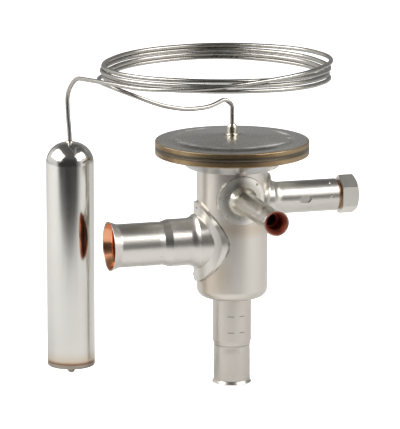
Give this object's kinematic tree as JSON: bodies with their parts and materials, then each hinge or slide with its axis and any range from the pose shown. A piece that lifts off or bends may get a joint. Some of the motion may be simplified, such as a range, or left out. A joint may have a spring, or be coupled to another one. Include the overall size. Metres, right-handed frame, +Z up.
{
  "type": "thermostatic expansion valve",
  "caption": "Stainless refrigerant expansion valve with solder sockets, diaphragm head, coiled capillary tube and sensor bulb, and a side adjusting spindle under a hexagon cap.",
  "frame": {"origin": "centre of the inlet socket's mouth, at the bottom of the valve", "axes": "+Z up along the valve's own axis, -X along the outlet, +X along the adjusting spindle, -Y along the equalizer line"},
  "size_m": [0.1256, 0.1087, 0.1351],
  "materials": {
    "body_steel": "satin drawn stainless steel",
    "head_steel": "turned stainless steel with a heat-tinted rim",
    "tube_steel": "satin stainless tube",
    "turned_steel": "fine turned stainless steel",
    "capillary_steel": "bright drawn stainless tube",
    "bulb_steel": "bright stainless steel",
    "spring_steel": "spring steel",
    "hard_steel": "ground hardened steel",
    "copper": "bright copper",
    "copper_gasket": "copper sealing ring",
    "braze": "silver braze",
    "brass": "turned brass",
    "seal_plastic": "dark sealing polymer"
  },
  "bodies": {
    "valve": {"body_shell": "body_steel", "lower_head": "head_steel", "upper_head": "head_steel", "inlet_tube": "tube_steel", "outlet_tube": "tube_steel", "equalizer_tube": "tube_steel", "inlet_liner": "copper", "outlet_liner": "copper", "equalizer_liner": "copper", "spindle_housing": "turned_steel", "capillary_tube": "capillary_steel", "capillary_collar": "braze", "bulb_shell": "bulb_steel", "bulb_end_cap": "bulb_steel", "diaphragm": "spring_steel", "guide_insert": "brass", "orifice_seat": "hard_steel", "backing_washer": "hard_steel", "gland_nut": "brass", "rod_seal": "seal_plastic", "spindle_packing": "seal_plastic"},
    "stem": {"push_rod": "hard_steel", "valve_cone": "hard_steel", "thrust_pad": "brass"},
    "carrier": {"spring_carrier": "brass", "superheat_spring": "spring_steel"},
    "crown": {"crown_wheel": "brass"},
    "spindle": {"adjusting_spindle": "hard_steel"},
    "gasket": {"cap_gasket": "copper_gasket"},
    "cap": {"seal_cap": "turned_steel"}
  },
  "joints": [
    {"name": "valve_stroke", "type": "slide", "parent": "valve", "child": "stem", "axis": [0, 0, -1], "range_m": [0, 0.0008], "stiffness_N_per_m": 1500, "springref_m": -0.002, "deforming": ["superheat_spring", "diaphragm"]},
    {"name": "spindle_turn", "type": "hinge", "parent": "valve", "child": "spindle", "pos_m": [0.03, 0, 0.0758], "axis": [1, 0, 0], "range_deg": [-1080, 1080]},
    {"name": "crown_turn", "type": "hinge", "parent": "valve", "child": "crown", "pos_m": [0, 0, 0.08], "axis": [0, 0, 1], "range_deg": [-540, 540]},
    {"name": "carrier_lift", "type": "slide", "parent": "valve", "child": "carrier", "axis": [0, 0, 1], "range_m": [-0.0015, 0.0015]},
    {"name": "cap_travel", "type": "slide", "parent": "valve", "child": "gasket", "axis": [1, 0, 0], "range_m": [0, 0.009]},
    {"name": "cap_turn", "type": "hinge", "parent": "gasket", "child": "cap", "pos_m": [0.045, 0, 0.0758], "axis": [1, 0, 0], "range_deg": [0, 3240]}
  ],
  "couplings": [
    {"joint": "crown_turn", "follows": "carrier_lift", "rad_per_m": -6283.2},
    {"joint": "spindle_turn", "follows": "carrier_lift", "rad_per_m": 12566},
    {"joint": "cap_turn", "follows": "cap_travel", "rad_per_m": 6283.2}
  ]
}
